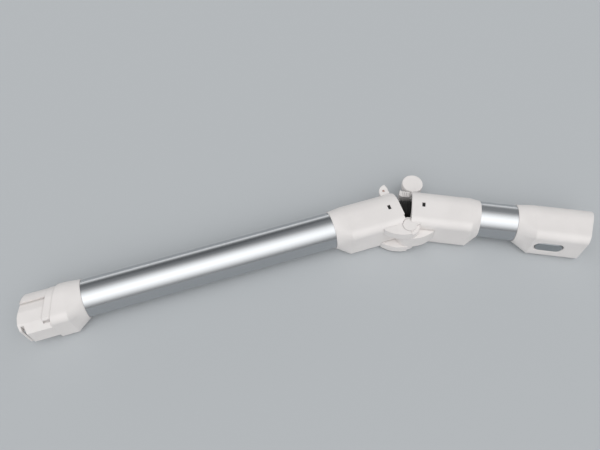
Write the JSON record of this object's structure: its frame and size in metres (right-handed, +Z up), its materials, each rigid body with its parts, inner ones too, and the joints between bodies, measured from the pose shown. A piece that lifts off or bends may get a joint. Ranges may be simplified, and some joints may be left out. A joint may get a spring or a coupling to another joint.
{
  "type": "folding vacuum wand",
  "caption": "Folding wand of a stick vacuum cleaner: two aluminium tubes joined by a latched hinge with a bellows, a keyed plug at one end and a socket with a release button at the other.",
  "frame": {"origin": "middle of the bounding box on the surface the wand lies on", "axes": "+X along the long tube towards the cleaner, +Y from the hinge side to the latch side, +Z up"},
  "size_m": [0.6478, 0.1562, 0.047],
  "materials": {
    "white_plastic": "moulded ABS, fine satin",
    "tube_aluminium": "clear anodised, drawn",
    "black_plastic": "moulded nylon",
    "conduit_plastic": "extruded",
    "bellows_rubber": "soft moulded rubber",
    "seal_rubber": "soft moulded rubber",
    "lead_sheath": "soft sheath",
    "grey_plastic": "moulded ABS, matt",
    "pin_steel": "turned",
    "spring_steel": "drawn wire",
    "contact_brass": "bare"
  },
  "bodies": {
    "lower_wand": {"lower_plug": "white_plastic", "plug_contact_block": "black_plastic", "plug_contacts": "contact_brass", "long_tube": "tube_aluminium", "lower_conduit": "conduit_plastic", "lower_lead": "lead_sheath", "lower_housing": "white_plastic", "lower_bellows_collar": "black_plastic", "striker_pin": "pin_steel", "hinge_pin": "pin_steel", "bellows": "bellows_rubber", "hinge_lead": "lead_sheath", "lower_screws": "pin_steel"},
    "upper_wand": {"upper_housing": "white_plastic", "upper_bellows_collar": "black_plastic", "hinge_cap": "white_plastic", "latch_pin": "pin_steel", "latch_spring": "spring_steel", "short_tube": "tube_aluminium", "upper_conduit": "conduit_plastic", "upper_lead": "lead_sheath", "upper_cuff": "white_plastic", "socket_seal": "seal_rubber", "socket_contact_block": "black_plastic", "socket_contacts": "contact_brass", "button_pin": "pin_steel", "button_spring": "spring_steel", "upper_screws": "pin_steel"},
    "latch": {"fold_latch": "white_plastic"},
    "button": {"release_button": "grey_plastic"}
  },
  "joints": [
    {"name": "fold_hinge", "type": "hinge", "parent": "lower_wand", "child": "upper_wand", "pos_m": [0.10967, 0.00495, 0.0235], "axis": [0, 0, -1], "range_deg": [-25.3, 64.7], "deforming": ["bellows", "hinge_lead"]},
    {"name": "latch_press", "type": "hinge", "parent": "upper_wand", "child": "latch", "pos_m": [0.13609, 0.04865, 0.0235], "axis": [0, 0, 1], "range_deg": [0, 7], "stiffness_Nm_per_rad": 0.5, "springref_deg": -11.46, "deforming": ["latch_spring"]},
    {"name": "button_rock", "type": "hinge", "parent": "upper_wand", "child": "button", "pos_m": [0.25681, -0.05819, 0.0235], "axis": [0, 0, -1], "range_deg": [0, 9], "stiffness_Nm_per_rad": 0.2, "springref_deg": -11.46, "deforming": ["button_spring"]}
  ]
}
